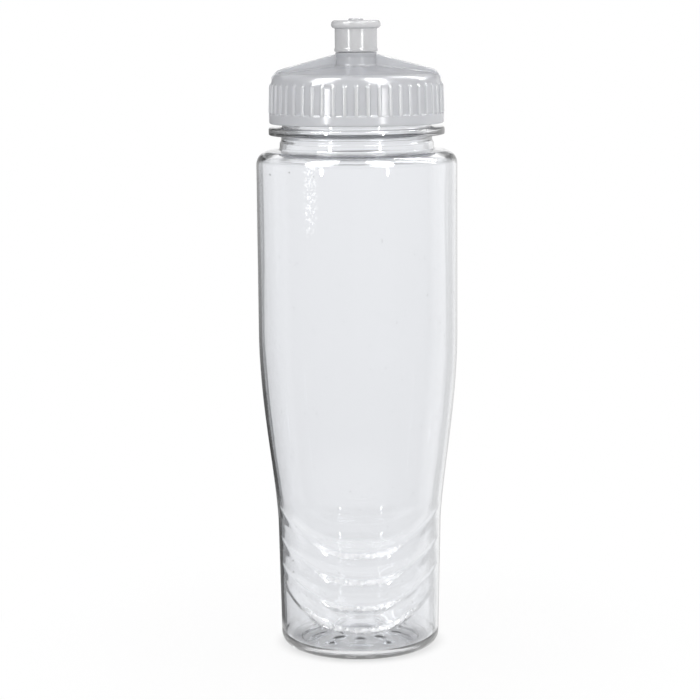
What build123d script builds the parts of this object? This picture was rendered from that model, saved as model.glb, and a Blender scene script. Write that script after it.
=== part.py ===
from build123d import *
from math import cos, pi, sin
import os

# A clear squeeze-grip sports bottle with a ribbed screw lid and a push-pull spout.
# Millimetres, +Z up. The origin is the centre of the standing ring, and -Y is the front.

# ---- Driving dimensions ----

# How far cutting shapes run past the faces they cut
cut_margin = 1.0

# Bottle, outside
wall = 1.2
stand_inner_r = 24.0
stand_outer_r = 28.2
push_up_r = 21.5
push_up_edge_z = 1.4
push_up_z = 4.6
heel_r = 32.3
heel_z = 4.5
grip_high_r = 33.3
flare_low_z = 50.0
flare_bias = 0.8
flare_steps = 9
barrel_r = 40.3
barrel_low_z = 130.0
barrel_high_z = 197.0
shoulder_r = 34.8
shoulder_z = 202.6

# Bottle, neck
neck_step_r = 30.9
neck_step_low_z = 203.1
neck_step_high_z = 206.3
neck_r = 29.8
neck_low_r = 30.2
ring_r = 35.2
ring_low_z = 208.8
ring_high_z = 211.8
neck_top_z = 230.0
bore_r = 28.2
bore_low_z = 210.0
base_thickness = 2.4

# Finger waves round the grip: low at the front and back, high at the sides
wave_low_z = 11.9
wave_pitch = 10.85
wave_rises = (13.5, 13.5, 16.0)
wave_rise_power = 2.5
wave_depth = 1.9
wave_sill_height = 4.2
wave_back_height = 6.6
cove_rise = 17.0
cove_depth = 1.5
cove_sill_height = 3.5
cove_back_height = 5.6
cove_full_sine = 0.55
cove_end_sine = 0.95
wave_zone_low_z = 7.5
wave_zone_high_z = 60.5
wave_zone_inset = 0.02
wave_sections = 53
wave_section_points = 40

# Screw thread, one right-hand start of 6 threads per inch
thread_lead = 25.4 / 6
thread_depth = 1.4
thread_base = 2.2
thread_crest = 1.2
thread_sink = 0.4
neck_thread_z = 218.5
neck_thread_turns = 1.5
lid_thread_drop = 1.75
lid_thread_turns = 1.25

# Lid
lid_low_z = 213.3
lid_inner_r = 31.7
lid_band_r = 34.85
lid_band_z = 216.8
lid_edge_r = 34.2
lid_edge_z = 226.9
roof_rim_r = 31.2
roof_rim_z = 232.95
roof_hub_r = 8.4
roof_hub_z = 236.0
roof_thickness = 1.6
roof_arch_z = 232.0
gasket_land_r = 26.2
gasket_land_z = 231.25
rib_count = 48
rib_width = 1.7
rib_low_r = 35.25
rib_high_r = 34.85
rib_high_z = 229.0
rib_root_r = 33.4
rib_round = 0.5
rib_bevel = 0.6

# Lid collar, fins and nozzle tube
collar_low_r = 7.85
collar_low_z = 239.4
collar_high_r = 8.35
collar_z = 241.3
collar_fillet = 0.8
fin_thickness = 2.4
fin_low_r = 31.6
fin_low_z = 234.4
fin_high_z = 240.5
fin_nose_r = 33.4
fin_nose_z = 232.0
fin_root_r = 32.6
fin_root_z = 230.6
tube_r = 6.4
tube_bore_r = 5.0
tube_z = 250.0
bead_r = 6.9
bead_z = 248.6
bead_slope = 0.5
post_r = 2.95
post_low_z = 237.6
post_high_z = 254.6
post_round = 0.6
web_count = 3
web_thickness = 1.3
web_high_z = 243.5
web_root_r = 5.3

# Gasket
gasket_inner_r = 26.8
gasket_outer_r = 31.2
gasket_low_z = 230.05
gasket_high_z = 231.2

# Spout
spout_low_z = 241.5
spout_r = 8.45
spout_foot_r = 8.65
spout_bore_r = 6.96
spout_lip_r = 6.46
spout_lip_z = 242.8
spout_lip_bevel = 0.4
spout_rim_r = 9.85
spout_rim_low_z = 250.75
spout_rim_high_z = 253.85
spout_rim_round = 1.3
spout_roof_z = 251.4
spout_hole_r = 3.0
spout_hole_bevel = 0.4
spout_dish_r = 5.6
spout_dish_depth = 0.6


# ---- Helpers ----

def turned(outline):
    """The solid of an outline drawn as (radius, height), turned round the Z axis."""
    return revolve(Plane.XZ * make_face(outline), Axis.Z, 360)


def flats(*points):
    """Straight lines through the points."""
    return [Line(start, end) for start, end in zip(points, points[1:])]


def closed_turn(*points):
    """The solid of revolution of a plain closed polygon."""
    return turned(flats(*points, points[0]))


def thread(root_r, direction, low_z, turns):
    """One thread ridge. direction is +1 for an outside thread and -1 for an inside one."""
    sunk = root_r - direction * thread_sink
    crest = root_r + direction * thread_depth
    half_base = thread_base / 2
    half_crest = thread_crest / 2
    corners = [
        (sunk, -half_base),
        (root_r, -half_base),
        (crest, -half_crest),
        (crest, half_crest),
        (root_r, half_base),
        (sunk, half_base),
    ]
    section = make_face(Polyline(*corners[::direction], close=True))
    path = Helix(thread_lead, turns * thread_lead, root_r)
    ridge = sweep(Plane.XZ * section, path, is_frenet=True)
    return Pos(0, 0, low_z) * ridge


# ---- Bottle ----

def side_radius(z):
    """The outer radius between heel and barrel: a slight taper, then a soft flare."""
    taper = heel_r + (grip_high_r - heel_r) * min(1, z / flare_low_z)
    along = (z - flare_low_z) / (barrel_low_z - flare_low_z)
    t = min(1, max(0, along)) ** flare_bias
    return taper + (barrel_r - grip_high_r) * t * t * (3 - 2 * t)


def side_outline(inset):
    """The side of the bottle from heel to shoulder, moved inwards by inset."""

    def side_point(z):
        return (side_radius(z) - inset, z)

    grip = flats(*map(side_point, (heel_z + inset, wave_zone_low_z, wave_zone_high_z)))
    step = (barrel_low_z - wave_zone_high_z) / flare_steps
    heights = [wave_zone_high_z + step * index for index in range(flare_steps + 1)]
    start_slope = side_radius(wave_zone_high_z + 1) - side_radius(wave_zone_high_z)
    flare = Spline(*map(side_point, heights), tangents=[(start_slope, 1), (0, 1)])
    barrel = Line(side_point(barrel_low_z), side_point(barrel_high_z))
    shoulder = EllipticalCenterArc(
        (shoulder_r - inset, barrel_high_z),
        barrel_r - shoulder_r,
        shoulder_z - inset - barrel_high_z,
        arc_size=90,
    )
    return [*grip, flare, barrel, shoulder]


def bottle_outside():
    """The filled outer shape: base, side, shoulder, neck step, support ring and neck."""
    dome = TangentArc((0, push_up_z), (push_up_r, push_up_edge_z), tangent=(1, 0))
    foot = flats((push_up_r, push_up_edge_z), (stand_inner_r, 0), (stand_outer_r, 0))
    heel = TangentArc((stand_outer_r, 0), (side_radius(heel_z), heel_z), tangent=(1, 0))
    neck = flats(
        (shoulder_r, shoulder_z),
        (neck_step_r, neck_step_low_z),
        (neck_step_r, neck_step_high_z),
        (neck_low_r, neck_step_high_z),
        (neck_low_r, ring_low_z),
        (ring_r, ring_low_z),
        (ring_r, ring_high_z),
        (neck_r, ring_high_z),
        (neck_r, neck_top_z),
        (0, neck_top_z),
        (0, push_up_z),
    )
    return turned([dome, *foot, heel, *side_outline(0), *neck])


def bottle_hollow():
    """The filled shape of the space inside, open at the neck."""
    floor_z = push_up_z + base_thickness
    floor_edge_z = push_up_edge_z + base_thickness
    trough = (stand_outer_r - wall, base_thickness)
    dome = TangentArc((0, floor_z), (push_up_r, floor_edge_z), tangent=(1, 0))
    foot = flats((push_up_r, floor_edge_z), (stand_inner_r, base_thickness), trough)
    heel_top = (side_radius(heel_z + wall) - wall, heel_z + wall)
    heel = TangentArc(trough, heel_top, tangent=(1, 0))
    over_neck = neck_top_z + cut_margin
    neck = flats(
        (shoulder_r - wall, shoulder_z - wall),
        (neck_step_r - wall, neck_step_low_z - wall),
        (neck_low_r - wall, ring_low_z),
        (bore_r, bore_low_z),
        (bore_r, over_neck),
        (0, over_neck),
        (0, floor_z),
    )
    return turned([dome, *foot, heel, *side_outline(wall), *neck])


def share(value, low, high):
    """How far value has come from low to high, kept between 0 and 1."""
    return min(1, max(0, (value - low) / (high - low)))


def cove_depth_at(angle, z):
    """The lowest cut: a sharp lower lip, a sill that slopes inwards and a soft back."""
    lip_z = wave_low_z + cove_rise * abs(sin(angle)) ** wave_rise_power
    deepest_z = lip_z + cove_sill_height
    sill = share(z, lip_z, deepest_z)
    back = share(z, deepest_z, deepest_z + cove_back_height)
    end = share(abs(sin(angle)), cove_full_sine, cove_end_sine)
    side_fade = 1 - end * end * (3 - 2 * end)
    return cove_depth * side_fade * (1 - (1 - sill) ** 2) * (1 - back ** 2) ** 2


def wave_depth_at(angle, z):
    """How deep the grip is cut at an angle from the front."""
    depth = cove_depth_at(angle, z)
    for index, rise in enumerate(wave_rises, 1):
        valley_z = wave_low_z + index * wave_pitch + rise * abs(sin(angle)) ** wave_rise_power
        above = share(z, valley_z, valley_z + wave_back_height)
        below = share(z, valley_z, valley_z - wave_sill_height)
        depth += wave_depth * cos(angle) ** 2 * (1 - above - below) ** 2
    return depth


def wave_section(z, inset):
    """The waved cross-section at one height."""
    radius = side_radius(z) - inset - wave_zone_inset
    points = []
    for index in range(wave_section_points):
        angle = 2 * pi * index / wave_section_points
        r = radius - wave_depth_at(angle, z)
        points.append((r * sin(angle), r * cos(angle), z))
    return make_face(Spline(*points, periodic=True))


def waved(plain, inset):
    """A turned shape with its grip replaced by the waved one."""
    step = (wave_zone_high_z - wave_zone_low_z) / (wave_sections - 1)
    heights = [wave_zone_low_z + step * index for index in range(wave_sections)]
    grip = loft([wave_section(z, inset) for z in heights])
    low_cut = split(plain, Plane.XY.offset(wave_zone_low_z), keep=Keep.BOTTOM)
    high_cut = split(plain, Plane.XY.offset(wave_zone_high_z), keep=Keep.TOP)
    return low_cut + grip + high_cut


def bottle_body():
    outside = waved(bottle_outside(), 0)
    inside = waved(bottle_hollow(), wall)
    ridge = thread(neck_r, 1, neck_thread_z, neck_thread_turns)
    return outside - inside + ridge


# ---- Lid ----

def lid_outside():
    """The filled outer shape: skirt, rounded edge, roof and collar."""
    skirt = flats(
        (0, lid_low_z),
        (lid_band_r, lid_low_z),
        (lid_band_r, lid_band_z),
        (lid_edge_r, lid_edge_z),
    )
    edge = EllipticalCenterArc(
        (roof_rim_r, lid_edge_z),
        lid_edge_r - roof_rim_r,
        roof_rim_z - lid_edge_z,
        arc_size=90,
    )
    roof = flats(
        (roof_rim_r, roof_rim_z),
        (roof_hub_r, roof_hub_z),
        (collar_low_r, roof_hub_z + collar_fillet),
        (collar_low_r, collar_low_z),
        (collar_high_r, collar_z),
        (0, collar_z),
        (0, lid_low_z),
    )
    return turned([*skirt, edge, *roof])


def lid_hollow():
    """The space under the roof, with the thread ridge left standing in it."""
    under_lid = lid_low_z - cut_margin
    under_roof = roof_hub_z - roof_thickness
    space = closed_turn(
        (0, under_lid),
        (lid_inner_r, under_lid),
        (lid_inner_r, gasket_land_z),
        (gasket_land_r, gasket_land_z),
        (gasket_land_r, roof_arch_z),
        (roof_hub_r, under_roof),
        (0, under_roof),
    )
    low_z = neck_thread_z - lid_thread_drop
    return space - thread(lid_inner_r, -1, low_z, lid_thread_turns)


def lid_rib():
    """One upright grip rib, standing on the +X side."""
    outline = flats(
        (rib_root_r, lid_band_z),
        (rib_low_r, lid_band_z),
        (rib_high_r, rib_high_z),
        (rib_root_r, rib_high_z + rib_bevel),
        (rib_root_r, lid_band_z),
    )
    face = Plane.XZ * make_face(outline)
    rib = extrude(face, rib_width / 2, both=True)
    upright = rib.edges().filter_by(lambda e: e.length > rib_width * 2)
    outer_edges = upright.sort_by(Axis.X)[-2:]
    return fillet(outer_edges, rib_round)


def lid_fin():
    """The gusset fin on the +X side of the collar."""
    outline = flats(
        (tube_r, fin_high_z),
        (collar_high_r, fin_high_z),
        (fin_low_r, fin_low_z),
        (fin_nose_r, fin_nose_z),
        (fin_root_r, fin_root_z),
        (tube_r, roof_hub_z - roof_thickness),
        (tube_r, fin_high_z),
    )
    return extrude(Plane.XZ * make_face(outline), fin_thickness / 2, both=True)


def nozzle():
    """The tube that the spout slides on, with its stop bead."""
    return closed_turn(
        (tube_bore_r, collar_z - cut_margin),
        (tube_r, collar_z - cut_margin),
        (tube_r, bead_z - bead_slope),
        (bead_r, bead_z),
        (bead_r, bead_z + bead_slope),
        (tube_r, tube_z),
        (tube_bore_r, tube_z),
    )


def centre_post():
    """The post that plugs the spout's hole, on webs across the nozzle's bore."""
    post_height = post_high_z - post_low_z
    post = Pos(0, 0, post_low_z + post_height / 2) * Cylinder(post_r, post_height)
    tip = post.edges().sort_by(Axis.Z)[-1]
    post = fillet(tip, post_round)
    web_height = web_high_z - post_low_z
    web = Pos(web_root_r / 2, 0, post_low_z + web_height / 2) * Box(
        web_root_r, web_thickness, web_height
    )
    for index in range(web_count):
        post += Rot(0, 0, 90 + index * 360 / web_count) * web
    return post


def lid():
    rib = lid_rib()
    fin = lid_fin()
    ribs = [Rot(0, 0, index * 360 / rib_count) * rib for index in range(rib_count)]
    bore_height = 2 * (collar_z - roof_hub_z + roof_thickness)
    bore = Pos(0, 0, collar_z) * Cylinder(tube_bore_r, bore_height)
    body = lid_outside() + ribs + [fin, Rot(0, 0, 180) * fin]
    return body - lid_hollow() - bore + nozzle() + centre_post()


# ---- Gasket and spout ----

def lid_gasket():
    return closed_turn(
        (gasket_inner_r, gasket_low_z),
        (gasket_outer_r, gasket_low_z),
        (gasket_outer_r, gasket_high_z),
        (gasket_inner_r, gasket_high_z),
    )


def spout():
    blank = closed_turn(
        (spout_lip_r, spout_low_z),
        (spout_foot_r, spout_low_z),
        (spout_r, spout_lip_z),
        (spout_r, spout_rim_low_z),
        (spout_rim_r, spout_rim_low_z),
        (spout_rim_r, spout_rim_high_z),
        (spout_dish_r, spout_rim_high_z),
        (spout_hole_r + spout_hole_bevel, spout_rim_high_z - spout_dish_depth),
        (spout_hole_r, spout_rim_high_z - spout_dish_depth),
        (spout_hole_r, spout_roof_z),
        (spout_bore_r, spout_roof_z),
        (spout_bore_r, spout_lip_z),
        (spout_lip_r, spout_lip_z - spout_lip_bevel),
    )
    rim_edges = blank.edges().group_by(SortBy.LENGTH)[-1]
    return fillet(rim_edges, spout_rim_round)


# ---- Files ----

os.makedirs("parts", exist_ok=True)
export_step(bottle_body(), "parts/bottle_body.step")
export_step(lid(), "parts/lid.step")
export_step(lid_gasket(), "parts/lid_gasket.step")
export_step(spout(), "parts/spout.step")
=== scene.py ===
import math

import bmesh
import bpy
import numpy as np
from mathutils import Matrix, Vector


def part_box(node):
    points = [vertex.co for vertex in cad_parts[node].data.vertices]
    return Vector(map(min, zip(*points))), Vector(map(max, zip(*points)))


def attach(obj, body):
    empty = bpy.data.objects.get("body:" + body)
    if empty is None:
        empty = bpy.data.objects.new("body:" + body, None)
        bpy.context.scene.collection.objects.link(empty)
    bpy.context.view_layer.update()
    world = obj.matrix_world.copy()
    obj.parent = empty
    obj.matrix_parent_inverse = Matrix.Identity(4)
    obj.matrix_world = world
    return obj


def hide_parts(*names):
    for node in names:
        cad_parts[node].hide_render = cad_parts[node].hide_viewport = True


# The looks of a clear sports bottle with a frosted ribbed lid and a push-pull spout.
# Outlines are drawn in millimetres as (radius, height) in the row's frame and turned round Z.

MM = 0.001
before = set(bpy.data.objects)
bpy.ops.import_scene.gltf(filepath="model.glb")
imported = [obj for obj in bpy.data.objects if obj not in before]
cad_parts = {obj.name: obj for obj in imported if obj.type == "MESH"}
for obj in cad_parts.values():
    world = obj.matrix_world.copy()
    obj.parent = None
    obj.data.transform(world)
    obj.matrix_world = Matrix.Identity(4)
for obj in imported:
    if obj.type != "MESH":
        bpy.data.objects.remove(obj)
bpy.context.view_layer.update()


def heights(node):
    """The lowest and the highest z of a CAD node, in millimetres."""
    low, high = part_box(node)
    return low.z / MM, high.z / MM


base_z, neck_top_z = heights("bottle_body")
lid_low_z, post_high_z = heights("lid")
gasket_low_z, gasket_high_z = heights("lid_gasket")
spout_low_z, spout_high_z = heights("spout")


# ---- Outlines ----

def smooth_step(t):
    t = np.clip(t, 0, 1)
    return t * t * (3 - 2 * t)


def rise(value, start, end):
    """0 at start and 1 at end, with a smooth change between; start may be the higher one."""
    return smooth_step((value - start) / (end - start))


def even_angles(count):
    return np.arange(count) * 2 * math.pi / count


def rounded(corners, steps):
    """The line through corners given as (radius, height) or (radius, height, fillet)."""
    line = [np.array(corners[0][:2], float)]
    for before, here, after in zip(corners, corners[1:], corners[2:]):
        corner = np.array(here[:2], float)
        if len(here) < 3:
            line.append(corner)
            continue
        fillet = here[2]
        u = np.array(before[:2], float) - corner
        v = np.array(after[:2], float) - corner
        u /= np.linalg.norm(u)
        v /= np.linalg.norm(v)
        half = math.acos(max(-1, min(1, float(u @ v)))) / 2
        middle = (u + v) / np.linalg.norm(u + v)
        centre = corner + middle * fillet / math.sin(half)
        start = corner + u * fillet / math.tan(half) - centre
        end = corner + v * fillet / math.tan(half) - centre
        first = math.atan2(start[1], start[0])
        turn = (math.atan2(end[1], end[0]) - first + math.pi) % (2 * math.pi) - math.pi
        for k in range(steps + 1):
            angle = first + turn * k / steps
            line.append(centre + fillet * np.array([math.cos(angle), math.sin(angle)]))
    line.append(np.array(corners[-1][:2], float))
    return line


def spaced(line, step):
    """The same line with no segment longer than step(height)."""
    out = [line[0]]
    for a, b in zip(line, line[1:]):
        parts = max(1, math.ceil(np.linalg.norm(b - a) / step((a[1] + b[1]) / 2)))
        for k in range(1, parts + 1):
            out.append(a + (b - a) * k / parts)
    return np.array(out)


def rings(line, angles, offset=None):
    """Points on a turned line. Angle 0 is the front (-Y) and pi / 2 the right side (+X)."""
    line = np.array(line)
    r = line[:, :1] + np.zeros((1, len(angles)))
    z = line[:, 1:] + np.zeros((1, len(angles)))
    a = angles[None, :] + np.zeros((len(line), 1))
    if offset is not None:
        r = r + offset(r, z, a)
    return np.stack([r * np.sin(a), -r * np.cos(a), z], axis=2)


def turned_back(grid):
    """The radius, the angle from the front and the height of every point."""
    x, y, z = grid[:, :, 0], grid[:, :, 1], grid[:, :, 2]
    return np.hypot(x, y), np.arctan2(x, -y), z


def mesh_object(name, points, faces):
    mesh = bpy.data.meshes.new(name)
    mesh.from_pydata((points.reshape(-1, 3) * MM).tolist(), [], faces)
    obj = bpy.data.objects.new(name, mesh)
    bpy.context.scene.collection.objects.link(obj)
    return obj


def skin(name, grid, wrap, paint=None):
    """A closed mesh over rings of points; wrap joins the last ring to the first one.
    paint holds named values for every point, which the materials read."""
    count, around = grid.shape[:2]
    index = np.arange(count * around).reshape(count, around)
    low = index if wrap else index[:-1]
    high = np.roll(index, -1, axis=0) if wrap else index[1:]
    faces = np.stack([low, np.roll(low, -1, axis=1), np.roll(high, -1, axis=1), high], axis=2)
    obj = mesh_object(name, grid, faces.reshape(-1, 4).tolist())
    for label, values in (paint or {}).items():
        layer = obj.data.attributes.new(label, "FLOAT", "POINT")
        layer.data.foreach_set("value", values.reshape(-1).astype(np.float32))
    if not wrap:
        close_enough = 1e-7
        bm = bmesh.new()
        bm.from_mesh(obj.data)
        poles = [v for v in bm.verts if math.hypot(v.co.x, v.co.y) < close_enough]
        bmesh.ops.remove_doubles(bm, verts=poles, dist=close_enough)
        bm.to_mesh(obj.data)
        bm.free()
    return obj


def section_solid(name, grid):
    """A closed mesh through sections that are each a closed loop, with flat ends."""
    count, around = grid.shape[:2]
    index = np.arange(count * around).reshape(count, around).tolist()
    faces = [index[0][::-1], index[-1]]
    for here, beyond in zip(index, index[1:]):
        for j in range(around):
            k = (j + 1) % around
            faces.append([here[j], here[k], beyond[k], beyond[j]])
    obj = mesh_object(name, grid, faces)
    bm = bmesh.new()
    bm.from_mesh(obj.data)
    bmesh.ops.recalc_face_normals(bm, faces=bm.faces)
    bmesh.ops.triangulate(bm, faces=[f for f in bm.faces if len(f.verts) > 4])
    bm.to_mesh(obj.data)
    bm.free()
    return obj


# ---- Threads ----

THREAD_LEAD = 25.4 / 6
THREAD_DEPTH = 1.4
THREAD_BASE = 2.2
THREAD_FADE_TURNS = 0.08


def thread_height(a, z, low_z, turns):
    """How far one right-hand thread ridge stands out. It starts on the +X side."""
    total = np.zeros_like(z)
    around = np.mod(a - math.pi / 2, 2 * math.pi)
    for lap in range(math.ceil(turns)):
        travelled = around / (2 * math.pi) + lap
        distance = np.abs(z - low_z - THREAD_LEAD * travelled)
        ridge = THREAD_DEPTH * rise(distance, THREAD_BASE / 2, THREAD_BASE / 4)
        ends = rise(travelled, 0, THREAD_FADE_TURNS) * rise(travelled, turns, turns - THREAD_FADE_TURNS)
        total = np.maximum(total, ridge * ends)
    return total


# ---- Bottle ----

WALL = 1.2
BASE_THICKNESS = 2.4
HEEL_Z, INNER_HEEL_Z = 4.5, 5.7
HEEL_R, GRIP_R, BARREL_R = 32.3, 33.3, 40.3
FLARE_LOW_Z, BARREL_LOW_Z, BARREL_HIGH_Z = 50.0, 130.0, 197.0
FLARE_POWER = 0.8
SHOULDER_R, SHOULDER_Z = 34.8, 202.6
NECK_FOOT_R, NECK_WAIST_R, NECK_R, BORE_R = 30.9, 30.2, 29.8, 28.2
RING_R, RING_LOW_Z, RING_HIGH_Z = 35.2, 208.8, 211.8
NECK_THREAD_Z, NECK_THREAD_TURNS = 218.5, 1.5

STAND_INNER_R, STAND_OUTER_R = 24.0, 28.2
PUSH_UP_R, PUSH_UP_Z, PUSH_UP_DROP = 21.5, 4.6, 3.2
LOBES = 12
LOBE_DEPTH, INNER_LOBE_DEPTH = 0.45, 0.3

WAVE_LOW_Z, WAVE_PITCH, VALLEYS_HIGH_Z, WAVE_HIGH_Z = 11.9, 10.85, 61.0, 70.0
WAVE_RISES = 13.5, 13.5, 16.0
WAVE_RISE_POWER = 2.5
WAVE_DEPTH, WAVE_SILL, WAVE_BACK = 1.9, 4.2, 6.6
FRONT_SOFTNESS, BACK_SOFTNESS = 0.2, 1.2
COVE_RISE, COVE_DEPTH, COVE_SILL, COVE_BACK = 17.0, 1.5, 3.5, 5.6
COVE_FULL_SINE, COVE_END_SINE = 0.55, 0.95

# Streaks of rougher plastic dotted with painted glints, as angles from the front in radians and half
# widths.
SHOULDER_STREAK, SHOULDER_STREAK_WIDTH = -0.47, 0.12
GRIP_STREAK, GRIP_STREAK_WIDTH = 0.25, 0.06


def side_radius(z):
    """The outer radius of the heel's taper, the grip, the flare and the barrel."""
    taper = HEEL_R + (GRIP_R - HEEL_R) * min(1, z / FLARE_LOW_Z)
    along = (z - FLARE_LOW_Z) / (BARREL_LOW_Z - FLARE_LOW_Z)
    return taper + (BARREL_R - GRIP_R) * smooth_step(max(0, along) ** FLARE_POWER)


def waves(a, z):
    """The depth of the finger waves: a cove with a sharp lip and three valleys above it.
    They are low at the front and back and high at the sides, where they fade."""
    side = np.abs(np.sin(a))
    climb = side ** WAVE_RISE_POWER
    up = z - WAVE_LOW_Z - COVE_RISE * climb
    sill = 1 - np.clip(up / COVE_SILL, 0, 1)
    back = np.clip((up - COVE_SILL) / COVE_BACK, 0, 1)
    total = COVE_DEPTH * (1 - sill ** 2) * (1 - back ** 2) ** 2 * rise(side, COVE_END_SINE, COVE_FULL_SINE)
    softness = np.where(np.cos(a) > 0, FRONT_SOFTNESS, BACK_SOFTNESS)
    for k, wave_rise in enumerate(WAVE_RISES, 1):
        off = z - WAVE_LOW_Z - k * WAVE_PITCH - wave_rise * climb
        off = np.sqrt(off * off + softness) * np.sign(off)
        fall = np.clip(np.where(off > 0, 1 - off / WAVE_BACK, 1 + off / WAVE_SILL), 0, 1)
        total = total + WAVE_DEPTH * fall ** 2 * np.cos(a) ** 2
    return total


def lobe_wave(a):
    return 0.5 + 0.5 * np.cos(LOBES * a)


def with_lobes(grid, depth):
    """The rings of the base with shallow lobes round the push-up."""
    r, a, z = turned_back(grid)
    grid[:, :, 2] = z + depth * rise(r, 12, 17) * rise(r, 24.5, 22) * lobe_wave(a)
    return grid


def base_line(lift, heel_r, heel_z, stand_r):
    """The base from its middle to the heel: the push-up, the standing ring and a round heel."""
    dome = []
    for r in np.arange(0, PUSH_UP_R, 1.25):
        dome.append(np.array([r, lift + PUSH_UP_Z - PUSH_UP_DROP * (r / PUSH_UP_R) ** 2]))
    foot = rounded([
        tuple(dome[-1]),
        (STAND_INNER_R, lift, 1.5),
        (stand_r, lift),
    ], 4)
    heel = []
    heel_steps = 8
    for k in range(1, heel_steps):
        angle = math.pi / 2 * k / heel_steps
        heel.append(np.array([
            stand_r + (heel_r - stand_r) * math.sin(angle),
            heel_z - (heel_z - lift) * math.cos(angle),
        ]))
    return dome + foot[1:] + heel


def side_line(inset, low_z):
    """The side from low_z to the shoulder's inner edge, in short steps where the waves are."""
    spans = (
        (low_z, 7.5, 1.0),
        (7.5, VALLEYS_HIGH_Z, 0.5),
        (VALLEYS_HIGH_Z, WAVE_HIGH_Z, 1.5),
        (WAVE_HIGH_Z, BARREL_LOW_Z, 3.0),
        (BARREL_LOW_Z, BARREL_HIGH_Z, 8.0),
    )
    line = []
    for low, high, step in spans:
        line += [np.array([side_radius(z) - inset, z]) for z in np.arange(low, high, step)]
    shoulder_steps = 10
    for k in range(shoulder_steps + 1):
        angle = math.pi / 2 * k / shoulder_steps
        line.append(np.array([
            SHOULDER_R - inset + (BARREL_R - SHOULDER_R) * math.cos(angle),
            BARREL_HIGH_Z + (SHOULDER_Z - inset - BARREL_HIGH_Z) * math.sin(angle),
        ]))
    return line


def neck_line():
    """The neck from the shoulder up over the ring and the rim and down inside to the shoulder."""
    return rounded([
        (SHOULDER_R, SHOULDER_Z),
        (NECK_FOOT_R, 203.1, 0.8),
        (NECK_FOOT_R - 0.05, 205.7, 1.0),
        (NECK_WAIST_R, 206.8, 0.8),
        (NECK_WAIST_R, RING_LOW_Z, 0.4),
        (RING_R, RING_LOW_Z, 0.5),
        (RING_R, RING_HIGH_Z, 0.8),
        (NECK_R, RING_HIGH_Z + 0.1, 0.5),
        (NECK_R, neck_top_z, 0.5),
        (BORE_R, neck_top_z, 0.5),
        (BORE_R, 210.0, 0.8),
        (BORE_R + 0.8, RING_LOW_Z, 0.8),
        (NECK_FOOT_R - WALL, SHOULDER_Z - 0.65, 2.0),
        (SHOULDER_R - WALL, SHOULDER_Z - WALL),
    ], 4)


def bottle_paint(grid, on_outside):
    """Where the bottle is scuffed, streaked and painted with shade and light, from 0 to 1 at every point.
    The scuffs lie on the waves' steep sills, the streaks on the shoulder and down the grip, both rough
    and dotted with painted glints; painted shade lies on the near side of the base, heaviest on its lobes,
    and a painted glow lies in a band round the heel's front."""
    r, a, z = turned_back(grid)
    in_front = np.cos(a) > 0
    reach = 0.3
    slope = (waves(a, z + reach) - waves(a, z - reach)) / (2 * reach)
    scuff = rise(slope, 0.25, 0.55) * (z > 9) * (z < WAVE_HIGH_Z) * in_front
    shoulder_streak = rise(np.abs(a - SHOULDER_STREAK), SHOULDER_STREAK_WIDTH, 0)
    shoulder_streak *= rise(z, 166, 178) * (z < 199)
    grip_streaks = rise(np.abs(np.abs(a) - GRIP_STREAK), GRIP_STREAK_WIDTH, 0)
    grip_streaks *= rise(z, 14, 18) * rise(z, 52, 46)
    # Painted shade for the base: heavier on the lobes, and only on the side near the camera.
    lobe_shade = rise(r, 11, 14) * rise(r, 27, 24) * lobe_wave(a) ** 2
    near_side = rise(r * np.cos(a), -8, 2)
    return {
        "scuff": scuff,
        "streak": np.maximum(shoulder_streak, 0.6 * grip_streaks),
        "painted_base_shade": rise(z, 7.5, 5.5) * (r < 28.5) * near_side * (0.4 + 0.6 * lobe_shade),
        # Painted glow: a band round the heel's front that the clear plastic lights with emission.
        "heel": rise(r, 27.5, 30.5) * rise(z, 5.0, 2.5) * in_front * on_outside,
    }


def clear_bottle():
    def outer_offset(r, z, a):
        thread = thread_height(a, z, NECK_THREAD_Z, NECK_THREAD_TURNS)
        on_neck = (z > RING_HIGH_Z + 0.7) & (r > NECK_R - 0.8)
        on_grip = (z >= 6.5) & (z <= WAVE_HIGH_Z)
        return np.where(on_neck, thread, 0) - np.where(on_grip, waves(a, z), 0)

    def inner_offset(r, z, a):
        on_grip = (z >= 7.0) & (z <= WAVE_HIGH_Z)
        return -np.where(on_grip, waves(a, z), 0)

    def neck_step(z):
        return 0.45 if 216 < z < 227 else 3.0

    inner_r = side_radius(INNER_HEEL_Z) - WALL
    outer_base = base_line(0.0, side_radius(HEEL_Z), HEEL_Z, STAND_OUTER_R)
    inner_base = base_line(BASE_THICKNESS, inner_r, INNER_HEEL_Z, STAND_OUTER_R - WALL)
    angles = even_angles(192)
    outside = [
        with_lobes(rings(outer_base, angles), LOBE_DEPTH),
        rings(side_line(0.0, HEEL_Z), angles, outer_offset),
    ]
    inside = [
        rings(side_line(WALL, INNER_HEEL_Z)[::-1], angles, inner_offset),
        with_lobes(rings(inner_base[::-1], angles), INNER_LOBE_DEPTH),
    ]
    neck = rings(spaced(neck_line()[1:], neck_step), angles, outer_offset)
    grid = np.concatenate(outside + [neck] + inside)
    on_outside = np.arange(len(grid))[:, None] < sum(len(block) for block in outside)
    return skin("bottle_clear", grid, False, bottle_paint(grid, on_outside))


# ---- Lid ----

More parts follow.
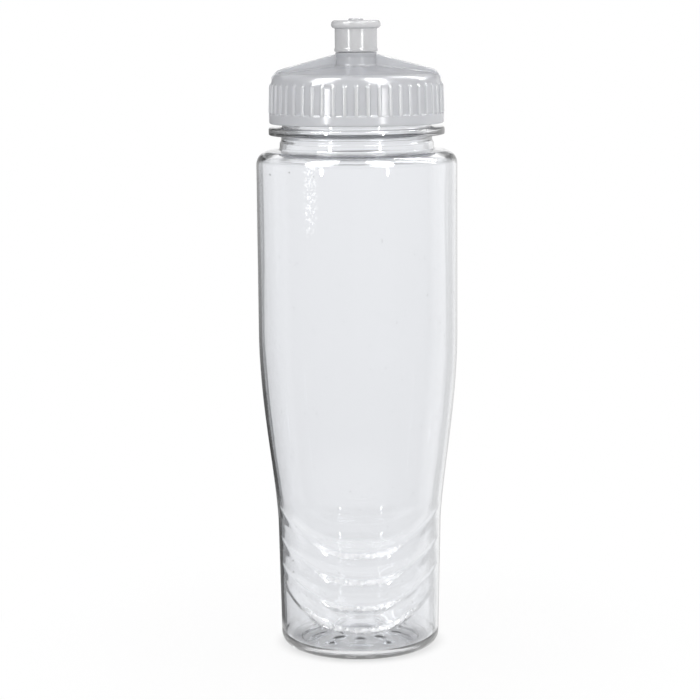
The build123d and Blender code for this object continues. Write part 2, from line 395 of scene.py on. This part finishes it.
RIBS = 48
RIB_R, RIB_DEPTH, RIB_DRAFT = 34.5, 0.62, 0.05 / 12
RIB_LOW_Z, RIB_HIGH_Z = 217.0, 229.4
SKIRT_R, SKIRT_INNER_R = 34.9, 31.7
SHOULDER_ARC_R, SHOULDER_ARC_Z = 31.2, 226.9
RECESS_R, SEAT_Z = 26.2, 231.25
ROOF_OUTER_R, ROOF_OUTER_Z = 31.25, 232.95
ROOF_INNER_R, ROOF_INNER_Z = 8.1, 236.0
COLLAR_R, COLLAR_Z = 8.4, 241.3
TUBE_R, TUBE_BORE_R, TUBE_Z = 6.4, 5.0, 250.0
BEAD_R, BEAD_LOW_Z, BEAD_HIGH_Z = 6.9, 248.7, 249.1
LID_THREAD_Z, LID_THREAD_TURNS = 216.75, 1.25
FIN_HALF_WIDTH = 1.2
POST_R, POST_LOW_Z, WEB_HIGH_Z = 2.95, 237.6, 243.5


def lid_angles():
    """Twelve columns a rib, closer together on the rib's own sides."""
    share = np.array([-0.5, -0.3, -0.225, -0.185, -0.14, -0.07, 0, 0.07, 0.14, 0.185, 0.225, 0.3])
    return np.concatenate([(k + share) * 2 * math.pi / RIBS for k in range(RIBS)])


def skirt_shoulder():
    """The oval round from the skirt to the roof, which stops short of level."""
    arc = []
    for k in range(1, 12):
        angle = k * math.pi / 26
        arc.append((SHOULDER_ARC_R + 3.0 * math.cos(angle), SHOULDER_ARC_Z + 6.0 * math.sin(angle)))
    return arc


def lid_line():
    """The lid's outline from inside the tube, round the skirt and up the outside of the tube."""
    return rounded([
        (TUBE_BORE_R, 240.0),
        (TUBE_BORE_R, 234.4, 0.3),
        (RECESS_R, SEAT_Z + 0.75, 0.3),
        (RECESS_R, SEAT_Z, 0.2),
        (SKIRT_INNER_R, SEAT_Z, 0.4),
        (SKIRT_INNER_R, lid_low_z, 0.5),
        (SKIRT_R, lid_low_z, 0.7),
        (SKIRT_R, 217.2, 0.7),
        (SKIRT_R - 0.45, 217.7, 0.5),
        (SHOULDER_ARC_R + 3.0, SHOULDER_ARC_Z),
        *skirt_shoulder(),
        (ROOF_OUTER_R, ROOF_OUTER_Z, 0.2),
        (ROOF_INNER_R, ROOF_INNER_Z, 1.0),
        (7.85, 239.4, 0.8),
        (COLLAR_R, COLLAR_Z, 0.35),
        (TUBE_R, COLLAR_Z + 0.05, 0.3),
        (TUBE_R, BEAD_LOW_Z - 0.5, 0.2),
        (BEAD_R, BEAD_LOW_Z, 0.2),
        (BEAD_R, BEAD_HIGH_Z, 0.15),
        (TUBE_R, TUBE_Z, 0.2),
        (TUBE_BORE_R, TUBE_Z, 0.2),
        (TUBE_BORE_R, 240.0),
    ], 4)


def lid_shell():
    """The lid's turned body with its grip ribs and its inside thread."""
    line = spaced(lid_line()[:-1], lambda z: 0.68 if 214 < z < 231 else 2.5)

    def offset(r, z, a):
        pitch = 2 * math.pi / RIBS
        across = np.abs(np.mod(a + pitch / 2, pitch) - pitch / 2) * RIB_R
        reach = rise(z, RIB_LOW_Z, RIB_LOW_Z + 0.9) * rise(z, RIB_HIGH_Z, RIB_HIGH_Z - 1.1)
        ribs = (RIB_DEPTH - RIB_DRAFT * (z - RIB_LOW_Z)) * rise(across, 1.0, 0.5) * reach
        thread = thread_height(a, z, LID_THREAD_Z, LID_THREAD_TURNS)
        on_outside = (r > RIB_R - 0.9) & (z > RIB_LOW_Z) & (z < RIB_HIGH_Z + 0.2)
        on_inside = (np.abs(r - SKIRT_INNER_R) < 0.3) & (z < 226)
        return np.where(on_outside, ribs, 0) - np.where(on_inside, thread, 0)

    grid = rings(line, lid_angles(), offset)
    stands_out = turned_back(grid)[0] - line[:, :1]
    # The rib mask says where the lid's colour is lightened as a painted highlight.
    return skin("lid_frosted", grid, True, {"rib": rise(stands_out, 0.25, 0.55)})


def roof_z(r):
    slope = (ROOF_INNER_Z - ROOF_OUTER_Z) / (ROOF_OUTER_R - ROOF_INNER_R)
    return ROOF_INNER_Z - (r - ROOF_INNER_R) * slope


def fin_section(foot, top, flare):
    """Half a fin's section as (half width, height): a fillet at the foot and a round top edge."""
    round_r = min(0.5, max(top - foot, 0.4) / 3)
    half = [(FIN_HALF_WIDTH + flare, foot)]
    for k in range(1, 6):
        angle = math.pi / 2 * k / 5
        half.append((
            FIN_HALF_WIDTH + flare * (1 - math.sin(angle)),
            foot + 0.3 + flare * (1 - math.cos(angle)) * 1.1,
        ))
    half = [(y, min(z, top - round_r - 0.1)) for y, z in half]
    side_low = half[-1][1]
    for k in range(1, 4):
        half.append((FIN_HALF_WIDTH, side_low + (top - round_r - side_low) * k / 4))
    for k in range(5):
        angle = math.pi / 2 * k / 4
        half.append((
            FIN_HALF_WIDTH - round_r + round_r * math.cos(angle),
            top - round_r + round_r * math.sin(angle),
        ))
    return half


def lid_fin(side):
    """The gusset fin on one side of the collar, which sinks into the lid's shoulder."""
    fin_top = 240.5
    slope = (fin_top - 234.35) / (31.8 - 8.5)
    grid = []
    for r in np.concatenate([np.arange(6.0, 31.1, 1.0), [32.0, 33.0, 33.7]]):
        top = min(fin_top, fin_top - (r - 8.5) * slope) - 2.6 * rise(r, 30.8, 34.8)
        foot = roof_z(r) - 0.3 - 2.2 * rise(r, 29.5, 34.0)
        flare = 0.9 - 0.5 * min(1, max(0, (r - 9) / 22))
        half = fin_section(foot, top, flare)
        profile = half + [(-y, z) for y, z in half[::-1]]
        grid.append([(side * r, y * side, z) for y, z in profile])
    return section_solid("fin", np.array(grid))


def post_web(angle):
    """One of the webs that hold the post in the nozzle."""
    half = 0.65
    corners = [(-half, POST_LOW_Z), (half, POST_LOW_Z), (half, WEB_HIGH_Z), (-half, WEB_HIGH_Z)]
    grid = np.array([[(r, y, z) for y, z in corners] for r in (1.0, TUBE_BORE_R + 0.4)])
    turn = np.array(Matrix.Rotation(angle, 3, "Z"))
    return section_solid("web", grid @ turn.T)


def centre_post():
    line = rounded([
        (0.0, POST_LOW_Z),
        (POST_R, POST_LOW_Z, 0.3),
        (POST_R, post_high_z, 0.6),
        (0.0, post_high_z),
    ], 4)
    return skin("post", rings(spaced(line, lambda z: 3.0), even_angles(48)), False)


def joined(target, extras):
    """target with the extra solids fused into it."""
    for extra in extras:
        fuse = target.modifiers.new("fuse", "BOOLEAN")
        fuse.operation = "UNION"
        fuse.solver = "MANIFOLD"
        fuse.object = extra
    graph = bpy.context.evaluated_depsgraph_get()
    mesh = bpy.data.meshes.new_from_object(target.evaluated_get(graph))
    target.modifiers.clear()
    target.data = mesh
    for extra in extras:
        bpy.data.objects.remove(extra)
    return target


def frosted_lid():
    fins = [lid_fin(side) for side in (1, -1)]
    webs = [post_web(math.radians(90 + 120 * k)) for k in range(3)]
    return joined(lid_shell(), fins + webs + [centre_post()])


# ---- Gasket and spout ----

GASKET_INNER_R, GASKET_OUTER_R, GASKET_SEAM_Z = 26.8, 31.2, 231.2
SPOUT_R, SPOUT_FOOT_R, SPOUT_BORE_R, SPOUT_LIP_R = 8.42, 8.65, 6.96, 6.46
SPOUT_LIP_Z, SPOUT_ROOF_Z = 242.75, 251.4
RIM_R, RIM_LOW_Z = 9.85, 250.75
DISH_R, DISH_DEPTH, HOLE_R = 5.6, 0.6, 3.0


def soft_gasket():
    line = rounded([
        (GASKET_INNER_R, GASKET_SEAM_Z),
        (GASKET_INNER_R, gasket_low_z, 0.3),
        (GASKET_OUTER_R, gasket_low_z, 0.3),
        (GASKET_OUTER_R, gasket_high_z, 0.3),
        (GASKET_INNER_R, gasket_high_z, 0.3),
        (GASKET_INNER_R, GASKET_SEAM_Z),
    ], 4)
    return skin("gasket_ring", rings(line[:-1], even_angles(96)), True)


def push_spout():
    """The sliding spout: the lip that meets the stop bead, the foot, the rim, the dish and the hole."""
    start = (SPOUT_BORE_R, 247.0)
    line = rounded([
        start,
        (SPOUT_BORE_R, SPOUT_LIP_Z, 0.1),
        (SPOUT_LIP_R, SPOUT_LIP_Z - 0.4, 0.15),
        (SPOUT_LIP_R, spout_low_z, 0.25),
        (SPOUT_FOOT_R, spout_low_z, 0.45),
        (SPOUT_FOOT_R - 0.03, spout_low_z + 1.1, 0.6),
        (SPOUT_R, spout_low_z + 1.6, 0.6),
        (SPOUT_R, RIM_LOW_Z, 0.35),
        (RIM_R, RIM_LOW_Z, 1.25),
        (RIM_R, spout_high_z, 1.45),
        (DISH_R, spout_high_z, 0.4),
        (DISH_R - 0.6, spout_high_z - DISH_DEPTH, 0.5),
        (HOLE_R, spout_high_z - DISH_DEPTH, 0.3),
        (HOLE_R, SPOUT_ROOF_Z, 0.3),
        (SPOUT_BORE_R, SPOUT_ROOF_Z, 0.5),
        start,
    ], 6)
    return skin("spout_frosted", rings(spaced(line[:-1], lambda z: 1.5), even_angles(144)), True)


# ---- Node graphs ----

class Graph:
    """A shader's node tree. A value given to its methods may be a number or a socket."""

    def __init__(self, tree):
        self.nodes = tree.nodes
        self.links = tree.links

    def feed(self, socket, value):
        if isinstance(value, bpy.types.NodeSocket):
            self.links.new(value, socket)
        else:
            socket.default_value = value

    def add(self, kind, inputs, **settings):
        """A new node with its settings and with its inputs fed."""
        node = self.nodes.new("ShaderNode" + kind)
        for label, value in settings.items():
            setattr(node, label, value)
        for socket, value in inputs.items():
            self.feed(node.inputs[socket], value)
        return node

    def noise(self, scale, stretch=(1, 1, 1), detail=3.0, rough=0.6):
        """Noise in the object's own frame, so that it stays on the piece as the piece moves."""
        place = self.add("TexCoord", {}).outputs["Object"]
        stretched = self.add("Mapping", {"Vector": place, "Scale": stretch}).outputs["Vector"]
        field = self.add("TexNoise", {
            "Vector": stretched, "Scale": scale, "Detail": detail, "Roughness": rough,
        })
        return field.outputs["Fac"]

    def spread(self, value, low, high, to_low=0.0, to_high=1.0, kind="SMOOTHSTEP"):
        """The value's range from low to high, mapped to another range and held at its ends."""
        node = self.add("MapRange", {
            "Value": value, "From Min": low, "From Max": high, "To Min": to_low, "To Max": to_high,
        }, interpolation_type=kind)
        return node.outputs["Result"]

    def straight(self, value, low, high, to_low, to_high):
        return self.spread(value, low, high, to_low, to_high, "LINEAR")

    def work_out(self, operation, *values):
        return self.add("Math", dict(enumerate(values)), operation=operation).outputs[0]

    def product(self, *values):
        return self.work_out("MULTIPLY", *values)

    def total(self, *values):
        return self.work_out("ADD", *values)

    def largest(self, *values):
        return self.work_out("MAXIMUM", *values)

    def blend(self, share, first, second):
        """A number between two others."""
        return self.add("Mix", {0: share, 2: first, 3: second}, data_type="FLOAT").outputs[0]

    def blend_colours(self, share, first, second, how="MIX"):
        inputs = {0: share, 6: first, 7: second}
        return self.add("Mix", inputs, data_type="RGBA", blend_type=how).outputs[2]

    def painted(self, label):
        """A value painted on the mesh's points when it was made."""
        return self.add("Attribute", {}, attribute_name=label).outputs["Fac"]

    def bump(self, value, strength, distance, under=None):
        inputs = {"Height": value, "Strength": strength, "Distance": distance}
        if under is not None:
            inputs["Normal"] = under
        return self.add("Bump", inputs).outputs["Normal"]


# ---- Materials ----

def material(name):
    """A new material, its graph and a function that feeds its Principled shader."""
    mat = bpy.data.materials.new(name)
    mat.use_nodes = True
    graph = Graph(mat.node_tree)
    shader = graph.nodes["Principled BSDF"]

    def dress(**inputs):
        for label, value in inputs.items():
            graph.feed(shader.inputs[label.replace("_", " ")], value)

    return mat, graph, dress


def clear_pet():
    """Clear PET with a faint haze and scuffed sills and streaks dotted with painted glints, painted shade
    on the base's near side and a painted glow round the heel's front.
    """
    mat, graph, dress = material("clear_pet")
    streaks = graph.noise(60, (1, 1, 0.06), 3.0, 0.55)
    specks = graph.spread(graph.noise(900, (1, 1, 0.5), 1.0, 0.5), 0.78, 0.84)
    haze = graph.spread(streaks, 0.35, 0.7, 0.008, 0.03)
    blotch = graph.spread(graph.noise(420, (1, 1, 0.7), 4.0, 0.7), 0.42, 0.58, 0.22, 0.5)
    dots = graph.spread(graph.noise(800, (1, 1, 0.8), 4.0, 0.7), 0.53, 0.6, 0.0, 0.4)
    scuff = graph.product(graph.painted("scuff"), blotch)
    streak = graph.product(graph.painted("streak"), dots)
    # Painted glints: white emission in dots on the scuffed sills and the streaks, in place of the lamps'
    # sparkle.
    painted_sparkle = graph.product(graph.painted("scuff"), dots)
    painted_glint = graph.spread(graph.largest(streak, painted_sparkle), 0.05, 0.4, 0.0, 0.3)
    # Painted glow on the heel's front, as white emission.
    painted_heel_glow = graph.product(graph.painted("heel"), 0.16)
    # The second colour is painted shade for the near side of the base.
    clear, painted_shade_grey = (0.942, 0.950, 0.966, 1), (0.74, 0.75, 0.77, 1)
    soft = graph.bump(streaks, 0.25, 0.0004)
    dress(
        IOR=1.575,
        Transmission_Weight=1.0,
        Base_Color=graph.blend_colours(graph.painted("painted_base_shade"), clear, painted_shade_grey),
        Roughness=graph.total(haze, graph.total(scuff, streak)),
        Emission_Color=(1, 1, 1, 1),
        Emission_Strength=graph.total(painted_glint, painted_heel_glow),
        Normal=graph.bump(specks, 0.4, 0.0002, soft),
    )
    return mat


def frosted(name, colour, roughness, through):
    """Milky, softly mottled plastic, with a painted highlight on its ribs and painted shade on its grazing
    edges.
    """
    mat, graph, dress = material(name)
    mottle = graph.noise(140)
    darker = (*[c * 0.97 for c in colour], 1)
    rib_highlight = (*[min(1, c * 1.08) for c in colour], 1)
    grazing_shade_grey = (0.68, 0.68, 0.70, 1)
    mottled = graph.blend_colours(mottle, darker, (*colour, 1))
    # Painted highlight: the ribs are lightened.
    ribbed = graph.blend_colours(graph.painted("rib"), mottled, rib_highlight)
    # Painted shade: the colour darkens towards grazing edges.
    facing = graph.add("LayerWeight", {"Blend": 0.35}).outputs["Facing"]
    dress(
        IOR=1.49,
        Transmission_Weight=through,
        Base_Color=graph.blend_colours(facing, ribbed, grazing_shade_grey, "MULTIPLY"),
        Roughness=graph.spread(mottle, 0.3, 0.7, roughness * 0.85, roughness * 1.15),
        Subsurface_Weight=1.0,
        Subsurface_Radius=(1.0, 1.0, 1.0),
        Subsurface_Scale=0.0008,
        Normal=graph.bump(graph.noise(1500, detail=2.0), 0.12, 0.00005),
    )
    return mat


def rubber():
    mat, graph, dress = material("gasket_foam")
    grain = graph.noise(800)
    dress(
        Base_Color=(0.82, 0.82, 0.82, 1),
        Roughness=graph.spread(grain, 0.3, 0.7, 0.5, 0.75),
        Normal=graph.bump(grain, 0.2, 0.0001),
    )
    return mat


def finish_piece(obj, mat, body, node, sharp_angle):
    """The piece with its material, smooth up to a sharp angle, riding on its body."""
    obj.data.materials.clear()
    obj.data.materials.append(mat)
    obj.data.polygons.foreach_set("use_smooth", [True] * len(obj.data.polygons))
    obj.data.set_sharp_from_angle(angle=math.radians(sharp_angle))
    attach(obj, body)
    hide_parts(node)


frosted_pp = frosted("frosted_pp", (0.84, 0.85, 0.875), 0.2, 0.3)
frosted_pe = frosted("frosted_pe", (0.87, 0.872, 0.88), 0.18, 0.2)
finish_piece(clear_bottle(), clear_pet(), "bottle", "bottle_body", 50)
finish_piece(frosted_lid(), frosted_pp, "lid", "lid", 32)
finish_piece(soft_gasket(), rubber(), "gasket", "lid_gasket", 50)
finish_piece(push_spout(), frosted_pe, "spout", "spout", 40)


# ---- Camera ----

scene = bpy.context.scene
lens = bpy.data.cameras.new("camera")
lens.lens = 108.9
lens.clip_start = 0.01
camera = bpy.data.objects.new("camera", lens)
scene.collection.objects.link(camera)
camera.location = (0, -0.85, 0.255)
pitch, yaw, roll = math.radians(8.93), math.radians(0.2246), math.radians(0.46)
ahead = Vector((-math.sin(yaw) * math.cos(pitch), math.cos(yaw) * math.cos(pitch), -math.sin(pitch)))
turn = Matrix.Rotation(roll, 4, ahead) @ ahead.to_track_quat("-Z", "Y").to_matrix().to_4x4()
camera.matrix_world = Matrix.Translation(camera.location) @ turn
scene.camera = camera
bpy.context.view_layer.update()


# ---- Lamps ----

def softbox(name, azimuth, elevation, span, width, power):
    """An oval softbox, locked to the camera, that shines in reflections and faces the neck.
    Azimuth 0 is the camera's side and 90 the right; span is its height as seen from the neck."""
    distance = 0.8
    data = bpy.data.lights.new(name, "AREA")
    data.shape = "ELLIPSE"
    data.size = width
    data.size_y = 2 * distance * math.tan(math.radians(span / 2))
    data.energy = power
    lamp = bpy.data.objects.new(name, data)
    scene.collection.objects.link(lamp)
    a, e = math.radians(azimuth), math.radians(elevation)
    away = Vector((math.sin(a) * math.cos(e), -math.cos(a) * math.cos(e), math.sin(e)))
    lamp.location = Vector((0, 0, neck_top_z * MM)) + distance * away
    lamp.rotation_euler = (-away).to_track_quat("-Z", "Y").to_euler()
    lamp.visible_diffuse = False
    bpy.context.view_layer.update()
    world_matrix = lamp.matrix_world.copy()
    lamp.parent = camera
    lamp.matrix_parent_inverse = camera.matrix_world.inverted()
    lamp.matrix_world = world_matrix


softbox("left_strip", -39, 1.2, 13.5, 0.06, 1.2)
softbox("right_strip", 34, 1.2, 13.5, 0.05, 1.0)
softbox("left_box", -54, 46, 52, 0.38, 14)
softbox("right_box", 35, 46, 52, 0.34, 12)
softbox("side_box", 112, 45, 44, 0.2, 6)


# ---- Floor and world ----

# The studio's brightness by bearing in degrees: 0 is straight behind the object, 90 the right
# and 180 the camera's own side.
PANELS = (
    (-180, 0.62), (-90, 0.45), (-70, 0.0), (-11.2, 0.0), (-10.2, 1.0), (7, 1.0), (9, 0.75),
    (17, 0.75), (22, 1.0), (54, 1.15), (64, 1.4), (76, 1.2), (92, 0.7), (180, 0.62),
)
RAMP_TOP = 2.0


def panel_glow(graph, bearing):
    """The panels' brightness divided by RAMP_TOP, because a ramp's colours end at 1."""
    place = graph.straight(bearing, -math.pi, math.pi, 0.0, 1.0)
    ramp = graph.add("ValToRGB", {"Fac": place})
    ramp.color_ramp.interpolation = "EASE"
    marks = ramp.color_ramp.elements
    while len(marks) < len(PANELS):
        marks.new(0.5)
    for mark, (angle, level) in zip(marks, PANELS):
        mark.position = angle / 360 + 0.5
        mark.color = (*[level / RAMP_TOP] * 3, 1)
    return ramp.outputs["Color"]


def studio_glow(graph, direction):
    """The studio's brightness in a direction, locked to the camera: white behind the object,
    dark behind its left side, a bright panel on the right and grey on the camera's side."""
    to_camera = graph.add(
        "VectorTransform", {"Vector": direction},
        vector_type="VECTOR", convert_from="WORLD", convert_to="CAMERA",
    )
    seen = graph.add("SeparateXYZ", {"Vector": to_camera.outputs["Vector"]})
    sideways = seen.outputs["X"]
    bearing = graph.work_out("ARCTAN2", sideways, seen.outputs["Z"])
    up = graph.add("SeparateXYZ", {"Vector": direction}).outputs["Z"]
    low_grey = graph.straight(up, -0.21, -0.04, 0.05, 0.2)
    steep_grey = graph.spread(up, -0.5, -0.3, 0.5, 0.0)
    around = graph.largest(panel_glow(graph, bearing), graph.largest(low_grey, steep_grey))
    around = graph.product(around, graph.spread(up, 0.12, 0.28, RAMP_TOP, 0.35 * RAMP_TOP))
    around = graph.product(around, graph.straight(up, -0.24, -0.05, 0.93, 1.0))
    overhead = graph.spread(up, 0.5, 0.8, 0.0, 0.6)
    band = graph.product(graph.spread(up, 0.36, 0.44), graph.spread(up, 0.62, 0.52, 0.0, 0.9))
    behind = graph.spread(graph.work_out("ABSOLUTE", bearing), 1.4, 1.0)
    glow = graph.total(graph.total(around, overhead), graph.product(band, behind))
    ray = graph.add("LightPath", {})
    even_light = graph.straight(sideways, -1, 1, 0.8, 1.0)
    glow = graph.blend(ray.outputs["Is Diffuse Ray"], glow, even_light)
    return graph.blend(ray.outputs["Is Camera Ray"], glow, 1.0)


def white_floor():
    """A pale floor that glows like the studio behind it and takes only a faint contact shadow; round the
    bottle's foot its glow is raised as painted light, and under the bottle dimmed as a painted shadow.
    """
    radius = 1600.0
    gap = 0.2
    points = rings([(radius, base_z - gap)], even_angles(96))
    obj = mesh_object("floor", points, [list(range(96))])
    mat, graph, dress = material("floor")
    dress(Base_Color=(0.9, 0.9, 0.9, 1), Roughness=0.9, Specular_IOR_Level=0.0)
    place = graph.add("TexCoord", {}).outputs["Object"]
    away = graph.add("VectorMath", {0: place}, operation="LENGTH").outputs["Value"]
    incoming = graph.add("NewGeometry", {}).outputs["Incoming"]
    onward = graph.add("VectorMath", {0: incoming, "Scale": -1.0}, operation="SCALE").outputs["Vector"]
    # Painted light: near the bottle's foot the floor glows at least this much in every direction.
    near_glow = graph.spread(away, 0.034, 0.06, 0.7, 0.0)
    level = graph.largest(studio_glow(graph, onward), near_glow)
    # Painted shadow: the glow is dimmed under the bottle.
    strength = graph.product(level, graph.spread(away, 0.024, 0.037, 0.6, 1.0))
    glow = graph.add("Emission", {"Strength": strength})
    mix = graph.add("MixShader", {
        "Fac": graph.spread(away, 0.04, 0.16, 0.93, 1.0),
        1: graph.nodes["Principled BSDF"].outputs["BSDF"],
        2: glow.outputs["Emission"],
    })
    graph.feed(graph.nodes["Material Output"].inputs["Surface"], mix.outputs["Shader"])
    obj.data.materials.append(mat)


def studio_world():
    world = bpy.data.worlds.new("studio")
    world.use_nodes = True
    graph = Graph(world.node_tree)
    graph.nodes.clear()
    direction = graph.add("TexCoord", {}).outputs["Generated"]
    back = graph.add("Background", {"Color": (1, 1, 1, 1), "Strength": studio_glow(graph, direction)})
    graph.add("OutputWorld", {"Surface": back.outputs["Background"]})
    scene.world = world


white_floor()
studio_world()

scene.view_settings.view_transform = "Standard"
scene.view_settings.look = "None"
scene.cycles.max_bounces = 24
scene.cycles.transmission_bounces = 24
scene.cycles.glossy_bounces = 8
scene.cycles.diffuse_bounces = 4
scene.cycles.transparent_max_bounces = 16
scene.cycles.caustics_refractive = True
scene.cycles.caustics_reflective = False
scene.cycles.sample_clamp_indirect = 6.0
